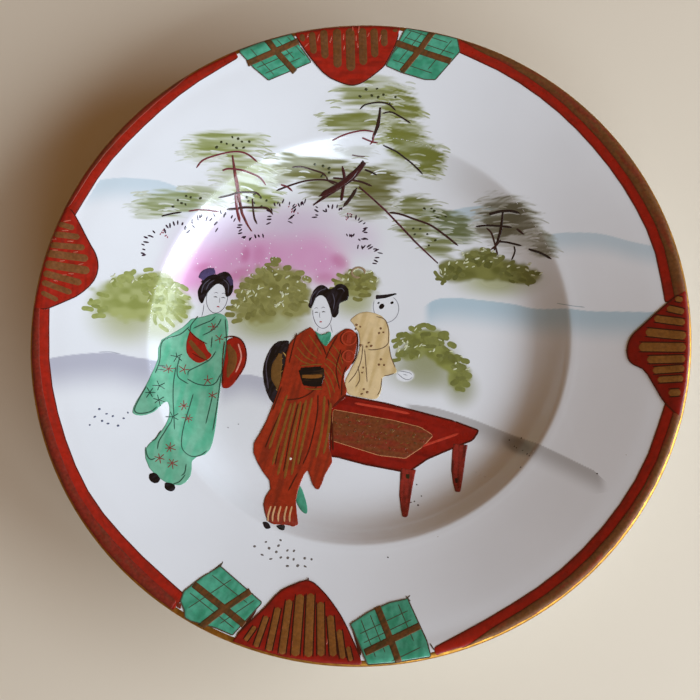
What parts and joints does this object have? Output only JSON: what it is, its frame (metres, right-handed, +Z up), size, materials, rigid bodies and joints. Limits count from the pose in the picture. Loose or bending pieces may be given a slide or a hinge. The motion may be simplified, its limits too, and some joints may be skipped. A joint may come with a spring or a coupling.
{
  "type": "painted porcelain dessert plate",
  "caption": "Round porcelain plate on a foot ring, with a flat well, a sloping border, and raised painted enamels: two ladies and a child by a red table under pines.",
  "frame": {"origin": "on the plate's axis, in the plane of the foot ring that it stands on", "axes": "+Z up out of the face, +Y towards the top of the painted scene, +X towards its right"},
  "size_m": [0.185, 0.185, 0.0251],
  "materials": {
    "unglazed_porcelain": "matte biscuit foot, fine and dense",
    "clear_glaze": "clear glossy glaze, bluish white",
    "gilding": "worn satin gold line",
    "bronze_gold": "brown bronze gold, brushed thinly over red",
    "iron_red_enamel": "iron red overglaze enamel, brushed, satin gloss",
    "jade_green_enamel": "thick translucent green overglaze enamel, glossy",
    "mint_green_enamel": "thick pale green overglaze enamel, glossy",
    "robe_red_enamel": "brownish red overglaze enamel, satin gloss",
    "black_enamel": "black overglaze enamel, glossy",
    "plum_enamel": "blue purple overglaze enamel, glossy",
    "cream_enamel": "thin cream yellow overglaze wash",
    "maroon_enamel": "maroon brown overglaze line colour"
  },
  "bodies": {
    "root": {"black_sash": "black_enamel", "child_fringe": "black_enamel", "cream_robe": "cream_enamel", "drum_bow": "black_enamel", "gilt_band_northeast": "bronze_gold", "gilt_band_northwest": "bronze_gold", "gilt_band_southeast": "bronze_gold", "gilt_band_southwest": "bronze_gold", "gilt_cross_northeast": "bronze_gold", "gilt_cross_northwest": "bronze_gold", "gilt_cross_southeast": "bronze_gold", "gilt_cross_southwest": "bronze_gold", "gilt_lip_line": "gilding", "glaze_back": "clear_glaze", "glaze_face": "clear_glaze", "glaze_under_base": "clear_glaze", "green_collar": "jade_green_enamel", "green_lozenge_northeast": "jade_green_enamel", "green_lozenge_northwest": "jade_green_enamel", "green_lozenge_southeast": "jade_green_enamel", "green_lozenge_southwest": "jade_green_enamel", "green_underskirt": "jade_green_enamel", "long_branch": "maroon_enamel", "mint_kimono": "mint_green_enamel", "mint_kimono_bow": "iron_red_enamel", "mint_kimono_sash": "iron_red_enamel", "mint_lady_hair": "black_enamel", "mint_lady_hair_bow": "plum_enamel", "mint_lady_shoe_left": "black_enamel", "mint_lady_shoe_right": "black_enamel", "pine_trunk_left": "maroon_enamel", "pine_trunk_middle": "maroon_enamel", "pine_trunk_right": "maroon_enamel", "pine_trunk_top": "maroon_enamel", "porcelain_body": "unglazed_porcelain", "red_band_northeast": "iron_red_enamel", "red_band_northwest": "iron_red_enamel", "red_band_southeast": "iron_red_enamel", "red_band_southwest": "iron_red_enamel", "red_fan_east": "iron_red_enamel", "red_fan_north": "iron_red_enamel", "red_fan_south": "iron_red_enamel", "red_fan_west": "iron_red_enamel", "red_kimono": "robe_red_enamel", "red_lady_hair": "black_enamel", "red_lady_shoe_left": "black_enamel", "red_lady_shoe_right": "black_enamel", "table_leg_back": "maroon_enamel", "table_leg_front": "maroon_enamel", "table_panel": "bronze_gold", "table_top": "iron_red_enamel"}
  },
  "joints": []
}
